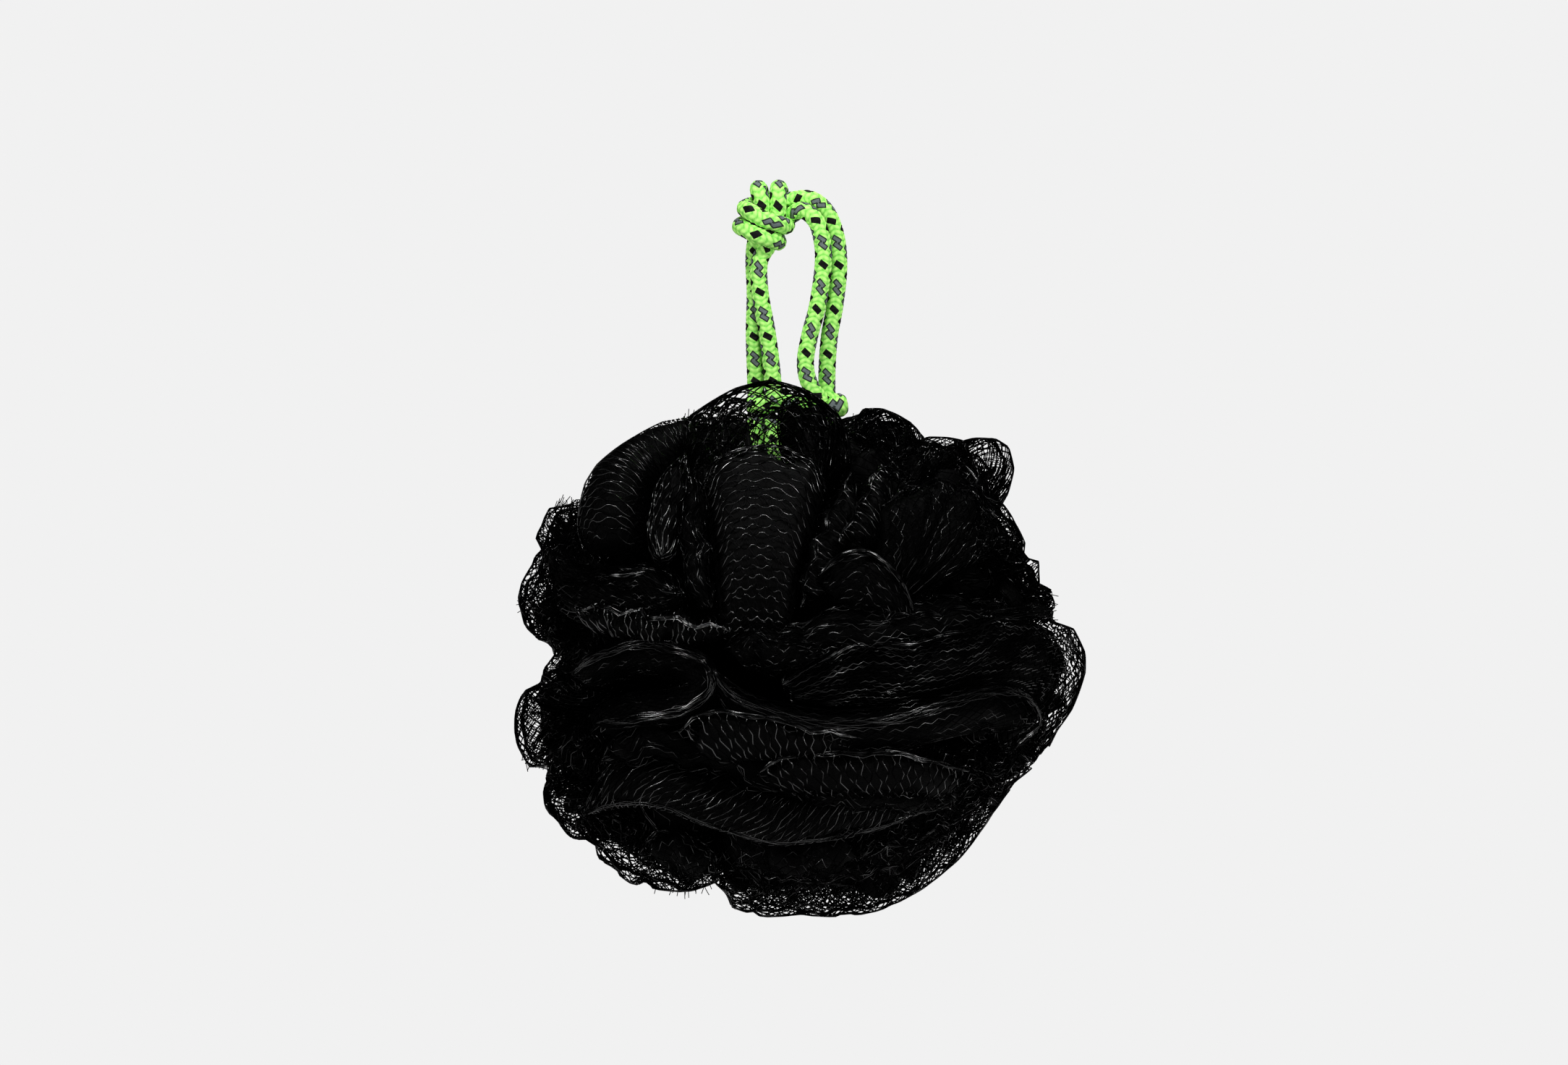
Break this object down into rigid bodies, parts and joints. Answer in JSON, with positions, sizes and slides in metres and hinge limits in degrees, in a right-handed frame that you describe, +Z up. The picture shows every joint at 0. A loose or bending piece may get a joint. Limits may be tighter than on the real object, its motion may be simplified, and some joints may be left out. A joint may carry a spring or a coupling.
{
  "type": "bath pouf",
  "caption": "Round bath pouf of gathered black tube netting, bound at the waist, hanging from a knotted loop of braided green cord.",
  "frame": {"origin": "The hanging point: the inner top of the cord loop, where a hook or a rail holds the pouf.", "axes": "+Z up against gravity, +X to the right and +Y away from the camera in the pictured view; the bundle of netting lies along Y."},
  "size_m": [0.1292, 0.1185, 0.169],
  "materials": {
    "netting": "black polyethylene net thread, slightly glossy, see-through where it is one layer",
    "cord": "tight round braid in bright green with black and grey reflective flecks",
    "twine": "black binding twine, hidden at the waist"
  },
  "bodies": {
    "hanging_loop": {"cord_strand_outer": "cord", "cord_strand_inner": "cord"},
    "neck": {"neck_turn": "cord"},
    "pouf": {"net_length_1": "netting", "net_length_2": "netting", "net_length_3": "netting", "net_length_4": "netting", "net_length_5": "netting", "net_length_6": "netting", "waist_twine": "twine", "cord_sling_front": "cord", "cord_sling_back": "cord"}
  },
  "joints": [
    {"name": "loop_fold", "type": "hinge", "parent": "hanging_loop", "child": "neck", "pos_m": [0, 0, -0.0425], "axis": [1, 0, 0], "range_deg": [-50, 50]},
    {"name": "pouf_twist", "type": "hinge", "parent": "neck", "child": "pouf", "pos_m": [0, 0, -0.0425], "axis": [0, 0, 1], "range_deg": [-90, 90], "stiffness_Nm_per_rad": 0.0005}
  ]
}
